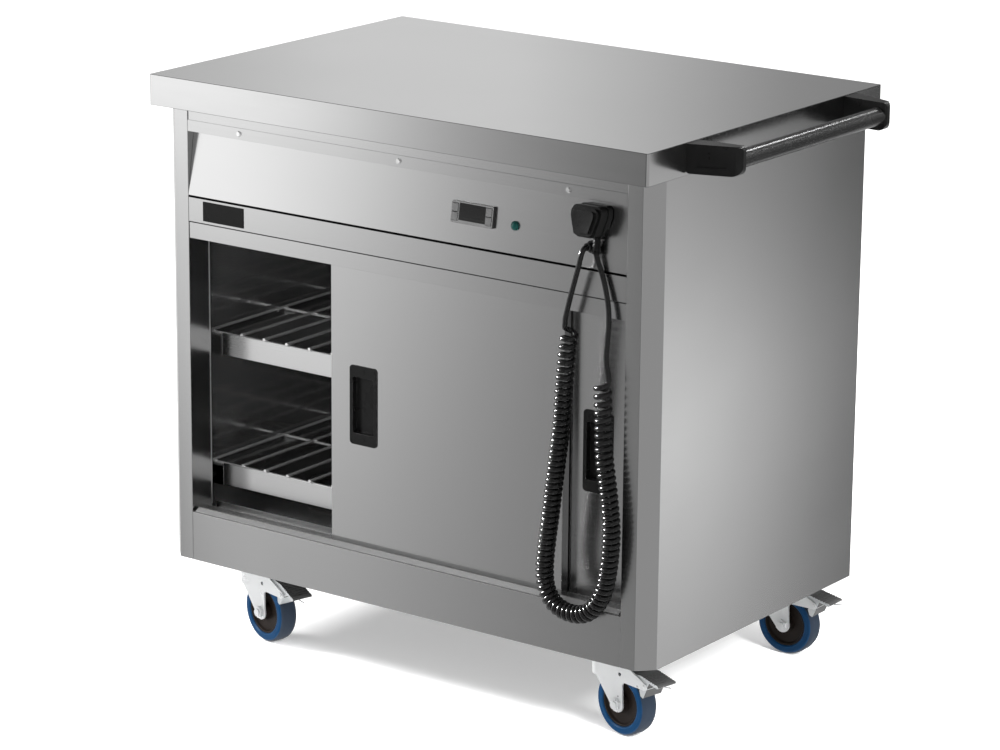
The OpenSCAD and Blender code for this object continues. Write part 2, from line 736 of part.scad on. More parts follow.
module hub(i) {
    rr = wheel_d / 2;
    castor(i) translate([trail, 0, axle_z]) rotate([90, 0, 0]) rotate_extrude($fn = 96) polygon([
        [6.06, -fork_in + 0.35], [13, -fork_in + 0.35], [14, -wheel_w / 2 + 7], [rr - 19, -wheel_w / 2 + 6],
        [rr - 17, -wheel_w / 2 + 2], [rr - 14.2, -wheel_w / 2 + 2], [rr - 14.2, wheel_w / 2 - 2],
        [rr - 17, wheel_w / 2 - 2], [rr - 19, wheel_w / 2 - 6], [14, wheel_w / 2 - 7],
        [13, fork_in - 0.35], [6.06, fork_in - 0.35]
    ]);
}

module tyre(i) {
    rr = wheel_d / 2;
    hw = wheel_w / 2;
    castor(i) translate([trail, 0, axle_z]) rotate([90, 0, 0]) rotate_extrude($fn = 96) polygon([
        [rr - 14.1, -hw + 1.5], [rr - 12, -hw], [rr - 6, -hw], [rr - 3, -hw + 1.5], [rr - 1, -hw + 4.5],
        [rr, -hw + 9], [rr, hw - 9], [rr - 1, hw - 4.5], [rr - 3, hw - 1.5], [rr - 6, hw],
        [rr - 12, hw], [rr - 14.1, hw - 1.5]
    ]);
}

// a tread plate on two cheeks that turn on the fork's cross pin
module pedal(i) {
    w = 2 * fork_in - 1;
    castor(i) translate([pivot_x, 0, pivot_z]) rotate([0, tilts[i], 0]) difference() {
        union() {
            rotate([90, 0, 0]) linear_extrude(height = w, center = true) {
                polygon([
                    [-31, 9.5], [-28, 13.5], [-7, 14.5], [27, 7.5], [29, 5], [26, 3.2], [9, 7], [6, 0],
                    [-2, -18.6], [-4, -19.2], [-8, -17.2], [-11, -9], [-8, 0], [-19, 8.6]
                ]);
                circle(r = 6, $fn = 48);
            }
            translate([27.5, -8, 5.2]) rotate([0, 82, 0]) cylinder(r = 0.9, h = 16, $fn = 24);
        }
        rod_y(3.06, -w, w);
        for (x = [-2 : 4.6 : 25]) translate([x, 0, 14.5 - (x + 7) * 7 / 34])
            cube([1.6, w + 2, 1.8], center = true);
    }
}

module fork_front_left() placed() color(zinc) fork(0);
module fork_front_right() placed() color(zinc) fork(1);
module fork_back_left() placed() color(zinc) fork(2);
module fork_back_right() placed() color(zinc) fork(3);
module hub_front_left() placed() color(black) hub(0);
module hub_front_right() placed() color(black) hub(1);
module hub_back_left() placed() color(black) hub(2);
module hub_back_right() placed() color(black) hub(3);
module tyre_front_left() placed() color(blue) tyre(0);
module tyre_front_right() placed() color(blue) tyre(1);
module tyre_back_left() placed() color(blue) tyre(2);
module tyre_back_right() placed() color(blue) tyre(3);
module pedal_front_left() placed() color(dark_steel) pedal(0);
module pedal_front_right() placed() color(dark_steel) pedal(1);
module pedal_back_left() placed() color(dark_steel) pedal(2);
module pedal_back_right() placed() color(dark_steel) pedal(3);

worktop();
left_side();
right_side();
back_panel();
base_pan();
kick_panel();
top_rail();
control_panel();
door_header();
upper_track();
lower_track();
panel_screws();
liner_sides();
liner_back();
liner_ceiling();
liner_floor();
shelf_bearers();
shelf_rails();
upper_shelf();
lower_shelf();
heating_element();
controller();
indicator_lamp();
cable_gland();
plug_holder();
handle_tube();
handle_brackets();
castor_plates();
badge_plate();
gland_lead();
coiled_cord();
plug_lead();
plug();
plug_pins();
front_door();
front_door_inner();
front_door_pull();
rear_door();
rear_door_inner();
rear_door_pull();
key_up();
key_down();
key_set();
key_power();
fork_front_left();
fork_front_right();
fork_back_left();
fork_back_right();
hub_front_left();
hub_front_right();
hub_back_left();
hub_back_right();
tyre_front_left();
tyre_front_right();
tyre_back_left();
tyre_back_right();
pedal_front_left();
pedal_front_right();
pedal_back_left();
pedal_back_right();
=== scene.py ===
# %% [markdown]
# # A heated hostess trolley
# This lesson finishes the CAD model of a sheet steel hot cupboard on castors: brushed stainless sheets,
# sliding doors, black mouldings, a coiled mains cord and blue rubber tyres.

# %% Load the frame
import bpy
import bmesh
import json
import math
import numpy as np
from mathutils import Matrix, Vector

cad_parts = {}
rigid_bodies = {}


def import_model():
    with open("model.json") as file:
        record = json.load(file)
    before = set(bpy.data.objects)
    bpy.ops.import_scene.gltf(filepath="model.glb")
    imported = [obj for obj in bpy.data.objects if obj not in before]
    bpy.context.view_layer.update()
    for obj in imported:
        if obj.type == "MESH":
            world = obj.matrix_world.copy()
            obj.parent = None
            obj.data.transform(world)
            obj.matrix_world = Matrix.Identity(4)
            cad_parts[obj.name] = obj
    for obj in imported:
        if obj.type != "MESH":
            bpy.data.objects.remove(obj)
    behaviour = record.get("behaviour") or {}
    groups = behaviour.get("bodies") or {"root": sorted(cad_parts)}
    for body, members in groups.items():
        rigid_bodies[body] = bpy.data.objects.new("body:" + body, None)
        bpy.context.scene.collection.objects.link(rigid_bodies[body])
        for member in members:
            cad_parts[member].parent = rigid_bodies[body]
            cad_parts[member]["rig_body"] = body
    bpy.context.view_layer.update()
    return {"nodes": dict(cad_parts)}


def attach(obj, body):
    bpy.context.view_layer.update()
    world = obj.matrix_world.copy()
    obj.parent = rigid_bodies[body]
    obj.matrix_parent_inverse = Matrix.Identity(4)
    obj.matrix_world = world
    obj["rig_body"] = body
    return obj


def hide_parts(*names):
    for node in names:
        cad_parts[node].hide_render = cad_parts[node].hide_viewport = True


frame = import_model()
scene = bpy.context.scene
MM = 0.001
# the CAD model is moved by this much, so that X = 0 is the middle of cabinet and handle together
X_MID = 38.5
# how far each castor is swivelled in the photograph, in degrees
CASTOR_TURNS = {"front_left": -15, "front_right": -12, "back_left": 20, "back_right": 0}

# %% [markdown]
# ## The camera
# The photograph was taken from the front right, a little above the worktop, with a long lens. The place and
# the turn of the camera come from fitting the model's corners to the picture. A long lens far away keeps the
# edges nearly parallel, which is how product photographs are made.

# %% Place the camera
CAMERA_PLACE = Vector((3.2986, -4.6104, 2.0296))
CAMERA_YAW, CAMERA_PITCH, CAMERA_ROLL = -36.076, -15.659, 0.525
LENS = 137.50


def camera_turn(yaw, pitch, roll):
    """The camera's axes as columns, from where it looks and how it leans."""
    yaw, pitch, roll = (math.radians(a) for a in (yaw, pitch, roll))
    ahead = Vector((math.sin(yaw) * math.cos(pitch), math.cos(yaw) * math.cos(pitch), math.sin(pitch)))
    side = Vector((math.cos(yaw), -math.sin(yaw), 0))
    above = side.cross(ahead)
    side_r = side * math.cos(roll) + above * math.sin(roll)
    above_r = above * math.cos(roll) - side * math.sin(roll)
    return Matrix((side_r, above_r, -ahead)).transposed().to_4x4()


camera = bpy.data.objects.new("camera", bpy.data.cameras.new("camera"))
camera.data.lens = LENS
camera.data.sensor_width = 36
camera.data.clip_end = 200
camera.matrix_world = Matrix.Translation(CAMERA_PLACE) @ camera_turn(CAMERA_YAW, CAMERA_PITCH, CAMERA_ROLL)
scene.collection.objects.link(camera)
scene.camera = camera
scene.view_settings.view_transform = "Standard"
scene.view_settings.look = "None"
print("camera at", tuple(CAMERA_PLACE), "lens", LENS, "mm")

# %% [markdown]
# ## The mains cord
# It is one cord from the gland to the plug: a straight lead, a long coiled stretch that hangs in a U, and a
# short straight lead into the plug's boot. One tube mesh along one line is the honest way to make it: the
# coil is a helix wound around the route, so its length is real. The turns are further apart where
# the coil hangs from its ends, because its own weight stretches it there.

# %% The routes of the cord, in millimetres as the CAD source has them
GLAND_ROUTE = [
    (343, -290, 746.1), (343, -296, 747), (342.6, -301, 745.8), (341.8, -304.5, 741.5), (340.5, -306, 735),
    (338, -306.5, 723), (334, -306, 710), (328.5, -305.5, 692), (322.5, -305, 672), (317, -304, 653),
    (313.5, -303.5, 640), (313, -303.5, 631)]
COIL_ROUTE = [
    (323, -303.5, 631), (317, -303.5, 588), (313, -303.5, 541), (309, -303.5, 479), (300, -303.5, 409),
    (292, -303.5, 342), (285, -303.5, 288), (283, -303.5, 255), (286, -303.5, 231), (297, -303.5, 212),
    (314, -303.5, 202), (334, -303.5, 199), (354, -303.5, 203), (371, -303.5, 215), (383, -303.5, 233),
    (391, -303.5, 255), (397, -303.5, 293), (399, -303.5, 340), (393, -303.5, 394), (385, -303.5, 445),
    (382.5, -303.5, 494), (380.5, -303.5, 540), (379.5, -303.5, 563)]
PLUG_ROUTE = [
    (389.5, -303.5, 563), (388.5, -303.4, 570), (385.5, -302.8, 583), (384, -301.5, 600),
    (384.5, -299.5, 622), (384.5, -297.5, 643), (382, -295.5, 664), (376.5, -294, 687),
    (369.5, -293.2, 709), (362, -292.9, 726),
    (358, -292.8, 736), (357, -292, 742.3)]
CORD_D = 8.0
TURN_R = 10.0
LOOSE_PITCH, TIGHT_PITCH, STRETCH_REACH = 12.8, 8.75, 95.0
JOIN_REACH = 9.0
POINTS_PER_TURN = 16


def smooth_route(points, step):
    """A Catmull-Rom curve through the points, cut into even steps."""
    p = np.array(points, float)
    ends = np.vstack([2 * p[0] - p[1], p, 2 * p[-1] - p[-2]])
    fine = []
    for i in range(1, len(ends) - 2):
        a, b, c, d = ends[i - 1:i + 3]
        for t in np.linspace(0, 1, 24, endpoint=False):
            fine.append(0.5 * (2 * b + (c - a) * t + (2 * a - 5 * b + 4 * c - d) * t * t
                               + (3 * b - a - 3 * c + d) * t ** 3))
    fine = np.array(fine + [p[-1]])
    way = np.concatenate([[0], np.cumsum(np.linalg.norm(np.diff(fine, axis=0), axis=1))])
    even = np.linspace(0, way[-1], max(2, int(way[-1] / step) + 1))
    return np.column_stack([np.interp(even, way, fine[:, k]) for k in range(3)]), even


# %% Wind the helix around the route
def wound(points):
    """The coil: it starts and ends along its outer side, and its own weight sets the pitch of the turns."""
    axis, way = smooth_route(points, 0.5)
    total = way[-1]
    from_end = np.minimum(way, total - way)
    pitch = TIGHT_PITCH + (LOOSE_PITCH - TIGHT_PITCH) * np.exp(-(from_end / STRETCH_REACH) ** 2)
    ease = np.clip((from_end - JOIN_REACH / 2) / (1.2 * JOIN_REACH), 0, 1)
    speed = ease * ease * (3 - 2 * ease) / pitch
    turns = np.concatenate([[0], np.cumsum(speed[1:] * np.diff(way))])
    turns *= round(turns[-1]) / turns[-1]
    along = np.gradient(axis, axis=0)
    along /= np.linalg.norm(along, axis=1)[:, None]
    outward = np.column_stack([along[:, 2], np.zeros(len(axis)), -along[:, 0]])
    outward /= np.linalg.norm(outward, axis=1)[:, None]
    across = np.cross(along, outward)
    angle = 2 * math.pi * turns
    line = axis + TURN_R * (np.cos(angle)[:, None] * outward + np.sin(angle)[:, None] * across)
    # only as many points as the turns need
    count = int(POINTS_PER_TURN * turns[-1]) + 16
    length = np.concatenate([[0], np.cumsum(np.linalg.norm(np.diff(line, axis=0), axis=1))])
    even = np.linspace(0, length[-1], count)
    return np.column_stack([np.interp(even, length, line[:, k]) for k in range(3)]), turns[-1]


coil_points, coil_turns = wound(COIL_ROUTE)
LEAD_STEP = 3
gland_lead = smooth_route(GLAND_ROUTE, LEAD_STEP)[0]
plug_lead = smooth_route(PLUG_ROUTE, LEAD_STEP)[0]
cord_line = np.vstack([gland_lead[:-1], coil_points, plug_lead[1:]])
cord_line = (cord_line - [X_MID, 0, 0]) * MM


# %% Make the cord
def tube_mesh(name, line, radius, sides=14):
    """A round tube along a line, with rings that don't twist, closed at both ends."""
    way = np.gradient(line, axis=0)
    way /= np.linalg.norm(way, axis=1)[:, None]
    ref = np.cross(way[0], [1.0, 0.0, 0.0])
    ref /= np.linalg.norm(ref)
    angles = np.arange(sides) * 2 * math.pi / sides
    points = []
    for centre, ahead in zip(line, way):
        ref = ref - ahead * ref.dot(ahead)
        ref /= np.linalg.norm(ref)
        other = np.cross(ahead, ref)
        points.append(centre + radius * (np.cos(angles)[:, None] * ref + np.sin(angles)[:, None] * other))
    faces = []
    for low in range(0, (len(line) - 1) * sides, sides):
        high = low + sides
        faces += [(low + k, low + (k + 1) % sides, high + (k + 1) % sides, high + k) for k in range(sides)]
    last = (len(line) - 1) * sides
    faces += [tuple(range(sides))[::-1], tuple(range(last, last + sides))]
    mesh = bpy.data.meshes.new(name)
    mesh.from_pydata(np.vstack(points).tolist(), [], faces)
    mesh.polygons.foreach_set("use_smooth", [True] * (len(faces) - 2) + [False, False])
    piece = bpy.data.objects.new(name, mesh)
    scene.collection.objects.link(piece)
    return piece


mains_cord = tube_mesh("mains_cord", cord_line, CORD_D / 2 * MM)
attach(mains_cord, "cabinet")
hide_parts("gland_lead", "coiled_cord", "plug_lead")

# %% [markdown]
# ## Shared shader groups
# Several finishes need the same effects, so each effect is one node group with named inputs. A group gives
# back only masks, values and colours; each material keeps its own Principled shader.


# %% Helpers for node trees
def add_node(tree, kind, inputs=None, **settings):
    """Adds one shader node; inputs are set by name or number, or linked when a socket is given."""
    node = tree.nodes.new(kind)
    for key, value in settings.items():
        setattr(node, key, value)
    for key, value in (inputs or {}).items():
        if isinstance(value, bpy.types.NodeSocket):
            tree.links.new(value, node.inputs[key])
        else:
            node.inputs[key].default_value = value
    return node


def new_group(name, inputs, outputs):
    """An empty node group with sockets; inputs is {name: (kind, default)}."""
    tree = bpy.data.node_groups.new(name, "ShaderNodeTree")
    for title, (kind, default) in inputs.items():
        socket = tree.interface.new_socket(title, in_out="INPUT", socket_type=kind)
        if default is not None:
            socket.default_value = default
    for title, kind in outputs.items():
        tree.interface.new_socket(title, in_out="OUTPUT", socket_type=kind)
    return tree, tree.nodes.new("NodeGroupInput"), tree.nodes.new("NodeGroupOutput")


VECTOR, FLOAT = "NodeSocketVector", "NodeSocketFloat"

# %% [markdown]
# Brushed steel is rolled and then ground with a belt, which leaves very fine scratches all in one direction.
# From two metres away they aren't seen one by one: they show as faint streaks in the gloss. A noise texture
# squeezed across the belt's direction makes them, and a second, slower noise gives the soft cloudiness of
# sheet that has been wiped and handled.


# %% The brushed steel group
def make_brush_group():
    tree, source, sink = new_group(
        "brushed_streaks",
        {"Vector": (VECTOR, None), "Across": (VECTOR, (3.0, 3.0, 700.0)), "Cloud Scale": (FLOAT, 3.0)},
        {"Streaks": FLOAT, "Clouds": FLOAT})
    place = source.outputs["Vector"]
    squeezed = add_node(tree, "ShaderNodeVectorMath", {0: place, 1: source.outputs["Across"]},
                        operation="MULTIPLY")
    fine = add_node(tree, "ShaderNodeTexNoise",
                    {"Vector": squeezed.outputs[0], "Scale": 1.0, "Detail": 3.0, "Roughness": 0.7})
    clouds = add_node(tree, "ShaderNodeTexNoise",
                      {"Vector": place, "Scale": source.outputs["Cloud Scale"], "Detail": 2.0})
    tree.links.new(fine.outputs["Fac"], sink.inputs["Streaks"])
    tree.links.new(clouds.outputs["Fac"], sink.inputs["Clouds"])
    return tree


BRUSH = make_brush_group()
print("group", BRUSH.name)

# %% [markdown]
# Moulded plastic and powder coating have a fine pebbled skin. One group gives that height and a slow
# variation in tone and gloss from handling; the pebble size is an input, because a castor pedal is coarser
# than a plug.


# %% The moulded skin group
def make_skin_group():
    tree, source, sink = new_group(
        "moulded_skin",
        {"Vector": (VECTOR, None), "Pebble Scale": (FLOAT, 900.0), "Wipe Scale": (FLOAT, 25.0)},
        {"Pebbles": FLOAT, "Wipes": FLOAT})
    place = source.outputs["Vector"]
    cells = add_node(tree, "ShaderNodeTexVoronoi", {"Vector": place, "Scale": source.outputs["Pebble Scale"]},
                     feature="SMOOTH_F1")
    wipes = add_node(tree, "ShaderNodeTexNoise",
                     {"Vector": place, "Scale": source.outputs["Wipe Scale"], "Detail": 3.0})
    tree.links.new(cells.outputs["Distance"], sink.inputs["Pebbles"])
    tree.links.new(wipes.outputs["Fac"], sink.inputs["Wipes"])
    return tree


SKIN = make_skin_group()

# %% [markdown]
# Edges of mouldings and plated pressings catch hands, feet and trays, and go lighter first; their lighter
# colour is also a painted highlight, for the light that rounded edges catch. The helper that rounds the
# edges, further down, gives the rounded strips a second material; this group breaks its lighter tone up with
# noise, so that the wear and painted highlight aren't an even outline.


# %% The edge wear and painted highlight group
def make_wear_highlight_group():
    tree, source, sink = new_group(
        "edge_wear_and_highlight",
        {"Vector": (VECTOR, None), "Patch Scale": (FLOAT, 120.0), "Amount": (FLOAT, 0.5)},
        {"Wear And Highlight": FLOAT})
    place = source.outputs["Vector"]
    patches = add_node(tree, "ShaderNodeTexNoise",
                       {"Vector": place, "Scale": source.outputs["Patch Scale"], "Detail": 4.0})
    broken = add_node(tree, "ShaderNodeMapRange",
                      {"Value": patches.outputs["Fac"], "From Min": 0.38, "From Max": 0.62})
    scaled = add_node(tree, "ShaderNodeMath", {0: broken.outputs["Result"], 1: source.outputs["Amount"]},
                      operation="MULTIPLY")
    tree.links.new(scaled.outputs[0], sink.inputs["Wear And Highlight"])
    return tree


WEAR_AND_HIGHLIGHT = make_wear_highlight_group()


# %% A material starts with its Principled shader and the object's own coordinates
def new_material(name, **sockets):
    """A material with a Principled shader whose constant sockets are set by name."""
    material = bpy.data.materials.new(name)
    material.use_nodes = True
    tree = material.node_tree
    shader = tree.nodes["Principled BSDF"]
    for key, value in sockets.items():
        shader.inputs[key.replace("_", " ")].default_value = value
    place = add_node(tree, "ShaderNodeTexCoord")
    return material, tree, shader, place.outputs["Object"]


def grey(value):
    return (value, value, value, 1.0)


def mixed(tree, factor, low, high):
    """A colour between two colours."""
    node = add_node(tree, "ShaderNodeMix", data_type="RGBA")
    tree.links.new(factor, node.inputs["Factor"])
    for number, colour in ((6, low), (7, high)):
        if isinstance(colour, bpy.types.NodeSocket):
            tree.links.new(colour, node.inputs[number])
        else:
            node.inputs[number].default_value = colour
    return node.outputs[2]


def ranged(tree, value, low, high, start=0.0, end=1.0):
    """Maps a value from start..end to low..high."""
    limits = {"Value": value, "From Min": start, "From Max": end, "To Min": low, "To Max": high}
    return add_node(tree, "ShaderNodeMapRange", limits).outputs["Result"]


# %% [markdown]
# ## Brushed stainless steel
# The body is one steel, but the belt runs along the longest side of each sheet. The streak group takes the
# three scales as one vector, so each direction of grain is one material made by the same function. Each sheet
# has two materials: one for its flats, and one for its folds, with painted shade in the base colour where
# they turn up or down, standing in for the dark ceiling of the studio that they would reflect.


# %% Make the steels
# how dark the painted shade on a fold is, against the flat sheet, and the tone that all the flat sheets share
FOLD_PAINTED_SHADE = 0.28
SHEET_TONE = 0.68


def steel(name, tone, across, rough=0.22, spread=0.02, cloud=0.02, warm=0.0, paint_fold_shade=False, metallic=1.0,
          shade=FOLD_PAINTED_SHADE):
    """Brushed sheet; the fold copy has painted shade in its base colour where it turns up or down, for the
    dark ceiling.
    """
    material, tree, shader, place = new_material(name, Metallic=metallic)
    brush = add_node(tree, "ShaderNodeGroup", node_tree=BRUSH)
    tree.links.new(place, brush.inputs["Vector"])
    brush.inputs["Across"].default_value = across
    light = (tone * (1.015 + warm), tone * 1.015, tone * (1.015 - warm), 1.0)
    dark = (tone * (0.985 + warm), tone * 0.985, tone * (0.985 - warm), 1.0)
    colour = mixed(tree, brush.outputs["Streaks"], dark, light)
    # painted shade: the base colour goes dark where the normal turns up or down, for the dark ceiling a fold
    # would reflect
    if paint_fold_shade:
        facing = add_node(tree, "ShaderNodeTexCoord").outputs["Normal"]
        upward = add_node(tree, "ShaderNodeSeparateXYZ", {0: facing}).outputs["Z"]
        fold_shade_mask = add_node(tree, "ShaderNodeMath", {0: upward}, operation="ABSOLUTE").outputs[0]
        colour = mixed(tree, ranged(tree, fold_shade_mask, 0.0, 1.0, 0.15, 0.45), colour, grey(tone * shade))
    tree.links.new(colour, shader.inputs["Base Color"])
    fine = ranged(tree, brush.outputs["Streaks"], rough - spread, rough + spread, 0.3, 0.7)
    slow = ranged(tree, brush.outputs["Clouds"], -cloud, cloud, 0.3, 0.7)
    both = add_node(tree, "ShaderNodeMath", {0: fine, 1: slow}, operation="ADD")
    tree.links.new(both.outputs[0], shader.inputs["Roughness"])
    bump = add_node(tree, "ShaderNodeBump",
                    {"Height": brush.outputs["Streaks"], "Strength": 0.03, "Distance": 0.0001})
    tree.links.new(bump.outputs["Normal"], shader.inputs["Normal"])
    return material


def sheet_steel(name, across, **more):
    """The flat steel and the same steel with painted shade on its folds."""
    flat = steel(name, SHEET_TONE, across, **more)
    return flat, steel(name + "_fold_painted_shade", SHEET_TONE, across, paint_fold_shade=True, **more)


STEEL_FRONT = sheet_steel("stainless_front", (5.0, 5.0, 1700.0))
STEEL_SIDE = sheet_steel("stainless_side", (5.0, 5.0, 1700.0))
# the worktop's folds get the darkest painted shade, a dark line along its front edge
STEEL_TOP = sheet_steel("stainless_top", (5.0, 1700.0, 60.0), rough=0.18, shade=0.08)
STEEL_RAIL = (steel("stainless_rail", 0.95, (5.0, 5.0, 1700.0), rough=0.28, spread=0.004, cloud=0.01),)
# the doors' end faces: a darker copy of the sheet steel, painted shade for the gap beside them
STEEL_END_PAINTED_SHADE = steel("stainless_door_end_painted_shade", 0.28, (5.0, 5.0, 1700.0))
STEEL_SILL = steel("stainless_sill", 0.48, (5.0, 300.0, 900.0), rough=0.40, metallic=0.35)
# the lining and base pan: a darker copy of the sheet steel, painted shade for the dark inside and underside
STEEL_LINER_PAINTED_SHADE = steel("stainless_liner_painted_shade", 0.45, (5.0, 5.0, 900.0), rough=0.10, metallic=0.92)
STEEL_SHELF = steel("stainless_wire", 0.80, (300.0, 20.0, 300.0), rough=0.22, metallic=0.85)
STEEL_BEARER = (steel("stainless_bearer", 0.50, (5.0, 300.0, 300.0), rough=0.14, metallic=0.95),)
STEEL_SCREW = steel("stainless_screw", 0.85, (600.0, 600.0, 600.0), rough=0.22, metallic=0.85)
STEEL_SHEATH = steel("element_sheath", 0.16, (60.0, 200.0, 200.0), rough=0.45, warm=0.06)


# %% Make the plastics, rubbers and plated metals
def skin_material(name, wear_highlight, low, high, rough, pebble, height, wipe, wear_highlight_colour, more):
    """One moulded or coated skin: two tones, pebbled, and lighter in patches of wear and painted highlight.
    """
    material, tree, shader, place = new_material(name, **more)
    skin = add_node(tree, "ShaderNodeGroup", node_tree=SKIN)
    tree.links.new(place, skin.inputs["Vector"])
    skin.inputs["Pebble Scale"].default_value = pebble
    colour = mixed(tree, skin.outputs["Wipes"], low, high)
    # lighter edges: part wear, part painted highlight of the light that rounded edges catch
    if wear_highlight:
        edge = add_node(tree, "ShaderNodeGroup", node_tree=WEAR_AND_HIGHLIGHT)
        tree.links.new(place, edge.inputs["Vector"])
        edge.inputs["Amount"].default_value = wear_highlight
        colour = mixed(tree, edge.outputs["Wear And Highlight"], colour, wear_highlight_colour)
    tree.links.new(colour, shader.inputs["Base Color"])
    tree.links.new(ranged(tree, skin.outputs["Wipes"], rough - wipe, rough + wipe, 0.3, 0.7),
                   shader.inputs["Roughness"])
    bump = add_node(tree, "ShaderNodeBump",
                    {"Height": skin.outputs["Pebbles"], "Strength": height, "Distance": 0.0003})
    tree.links.new(bump.outputs["Normal"], shader.inputs["Normal"])
    return material


def plastic(name, low, high, rough, pebble=900.0, height=0.25, wipe=0.06, wear_highlight=0.0, wear_highlight_colour=grey(0.25),
            **more):
    """The skin itself, and the same skin for its eased edges, lighter as wear and painted highlight."""
    look = (low, high, rough, pebble, height, wipe, wear_highlight_colour, more)
    face = skin_material(name, 0.0, *look)
    if not wear_highlight:
        return (face,)
    return face, skin_material(name + "_edge", wear_highlight, *look)


# the lighter edge colours below are part wear, part painted highlight
BLACK_MOULDED = plastic("black_moulding", grey(0.004), grey(0.008), 0.30, height=0.10, wear_highlight=0.7,
                        wear_highlight_colour=grey(0.035), Specular_IOR_Level=0.14)
PLUG_BLACK = plastic("plug_rubber", grey(0.003), grey(0.006), 0.22, height=0.06, wear_highlight=0.6,
                     wear_highlight_colour=grey(0.03), Specular_IOR_Level=0.14)
BLACK_COATED = plastic("black_coated_tube", grey(0.006), grey(0.010), 0.27, pebble=600.0, height=0.004,
                       wipe=0.01, Specular_IOR_Level=0.25)
BLACK_BADGE = plastic("black_badge", grey(0.005), grey(0.008), 0.30, height=0.05, Specular_IOR_Level=0.14)
BLACK_CORD = plastic("black_cord", grey(0.003), grey(0.006), 0.16, height=0.02, wipe=0.02,
                     Specular_IOR_Level=0.4)
CONTROLLER = plastic("controller_case", grey(0.012), grey(0.020), 0.40, height=0.08)
KEY_CAP = plastic("key_cap", grey(0.095), grey(0.12), 0.5, height=0.08)
HUB_DARK = plastic("hub_plastic", (0.008, 0.006, 0.005, 1), (0.016, 0.011, 0.009, 1), 0.42, pebble=700.0,
                   height=0.10, Specular_IOR_Level=0.18)
TYRE_BLUE = plastic("blue_rubber", (0.0, 0.022, 0.068, 1), (0.0, 0.035, 0.100, 1), 0.34, pebble=1100.0,
                    height=0.08, wear_highlight=0.3, wear_highlight_colour=(0.02, 0.09, 0.20, 1), Specular_IOR_Level=0.18)
TREAD_BLUE = plastic("worn_tread", (0.014, 0.024, 0.040, 1), (0.034, 0.046, 0.070, 1), 0.55, pebble=1500.0,
                     height=0.12, Specular_IOR_Level=0.2)[0]
PEDAL_GREY = plastic("pedal_grey", grey(0.060), grey(0.090), 0.40, height=0.15, wear_highlight=0.9,
                     wear_highlight_colour=grey(0.35), Specular_IOR_Level=0.25)
ZINC = plastic("bright_zinc", (0.69, 0.70, 0.71, 1), (0.78, 0.79, 0.79, 1), 0.32, pebble=250.0, height=0.02,
               wear_highlight=0.5, wear_highlight_colour=grey(0.88), Metallic=0.6)
ZINC_SIDE = plastic("zinc_pedal_side", (0.50, 0.52, 0.53, 1), (0.66, 0.67, 0.68, 1), 0.34, pebble=250.0,
                    height=0.02, Metallic=0.55)[0]
BRASS = plastic("pin_brass", (0.60, 0.42, 0.14, 1), (0.72, 0.52, 0.20, 1), 0.25, pebble=400.0, height=0.05,
                Metallic=1.0)
LAMP_GREEN = plastic("lamp_green", (0.002, 0.028, 0.025, 1), (0.003, 0.050, 0.044, 1), 0.14, height=0.02)
print("materials:", len(bpy.data.materials))

# %% [markdown]
# The controller is a black case with a grey printed foil on its face. The foil leaves a window over the
# display, so its material is dark inside a rectangle, in millimetres around the middle of the controller.

# %% The printed foil of the controller
CTRL_X, CTRL_Z = 133.0, 761.0
WINDOW = {"left": -23.5, "right": 24.0, "bottom": -10.6, "top": 14.6}


def make_foil():
    material, tree, shader, place = new_material("controller_foil", Specular_IOR_Level=0.15)
    split = add_node(tree, "ShaderNodeSeparateXYZ", {0: place})
    inside = None
    for output, side, kind in (("X", "left", "GREATER_THAN"), ("X", "right", "LESS_THAN"),
                               ("Z", "bottom", "GREATER_THAN"), ("Z", "top", "LESS_THAN")):
        limit = (WINDOW[side] + (CTRL_X - X_MID if output == "X" else CTRL_Z)) * MM
        test = add_node(tree, "ShaderNodeMath", {0: split.outputs[output], 1: limit}, operation=kind)
        test = test.outputs[0]
        if inside is not None:
            test = add_node(tree, "ShaderNodeMath", {0: inside, 1: test}, operation="MULTIPLY").outputs[0]
        inside = test
    skin = add_node(tree, "ShaderNodeGroup", {"Pebble Scale": 900.0, "Wipe Scale": 40.0}, node_tree=SKIN)
    tree.links.new(place, skin.inputs["Vector"])
    print_tone = mixed(tree, skin.outputs["Wipes"], grey(0.10), grey(0.125))
    tree.links.new(mixed(tree, inside, print_tone, grey(0.008)), shader.inputs["Base Color"])
    tree.links.new(ranged(tree, inside, 0.45, 0.22), shader.inputs["Roughness"])
    return material


FOIL = make_foil()

# %% [markdown]
# ## Rounding the edges
# Real sheet is folded over a radius and every cut rim is eased a little; those narrow roundings catch the
# light and tell the eye that it is metal. The CAD nodes have sharp edges, so each visible one is copied, its
# flat faces are joined again, and a weighted bevel rounds the folds more than the rims. The copy stands for
# the node and rides on the same body. The rounded strips take the second finish of the piece, if it has one:
# on steel that is the painted fold shade, on mouldings a lighter edge that is part wear, part painted
# highlight.


# %% The rounding helper
def face_reach(face, edge):
    """How wide a face is, measured square to one of its edges."""
    start, end = (v.co for v in edge.verts)
    way = (end - start).normalized()
    return max(((v.co - start) - way * (v.co - start).dot(way)).length for v in face.verts)


